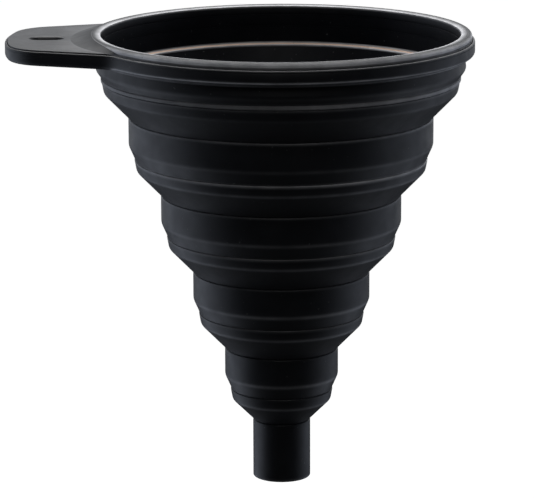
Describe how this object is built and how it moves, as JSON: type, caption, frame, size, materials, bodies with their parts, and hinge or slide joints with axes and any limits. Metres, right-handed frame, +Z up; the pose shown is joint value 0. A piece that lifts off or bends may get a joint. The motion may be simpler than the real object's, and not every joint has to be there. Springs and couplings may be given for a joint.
{
  "type": "collapsible funnel",
  "caption": "Collapsible silicone kitchen funnel with stepped folding rings, a straight spout and a flat tab handle with a hang hole.",
  "frame": {"origin": "on the funnel's axis at the tip of the spout", "axes": "+Z up along the axis from the spout to the rim, the tab handle points to -X"},
  "size_m": [0.1306, 0.108, 0.1283],
  "materials": {
    "silicone": "matte"
  },
  "bodies": {
    "rim": {"rim_top": "silicone", "rim_band": "silicone", "rim_skirt": "silicone", "web_1": "silicone"},
    "ring_2": {"ring_2": "silicone", "web_2": "silicone"},
    "ring_3": {"ring_3": "silicone", "web_3": "silicone"},
    "ring_4": {"ring_4": "silicone", "web_4": "silicone"},
    "ring_5": {"ring_5": "silicone", "web_5": "silicone"},
    "spout": {"spout": "silicone"}
  },
  "joints": [
    {"name": "fold_5", "type": "slide", "parent": "spout", "child": "ring_5", "axis": [0, 0, -1], "range_m": [0, 0.0182], "deforming": ["web_5"]},
    {"name": "fold_4", "type": "slide", "parent": "ring_5", "child": "ring_4", "axis": [0, 0, -1], "range_m": [0, 0.0205], "deforming": ["web_4"]},
    {"name": "fold_3", "type": "slide", "parent": "ring_4", "child": "ring_3", "axis": [0, 0, -1], "range_m": [0, 0.0205], "deforming": ["web_3"]},
    {"name": "fold_2", "type": "slide", "parent": "ring_3", "child": "ring_2", "axis": [0, 0, -1], "range_m": [0, 0.0205], "deforming": ["web_2"]},
    {"name": "fold_1", "type": "slide", "parent": "ring_2", "child": "rim", "axis": [0, 0, -1], "range_m": [0, 0.0205], "deforming": ["web_1"]}
  ]
}
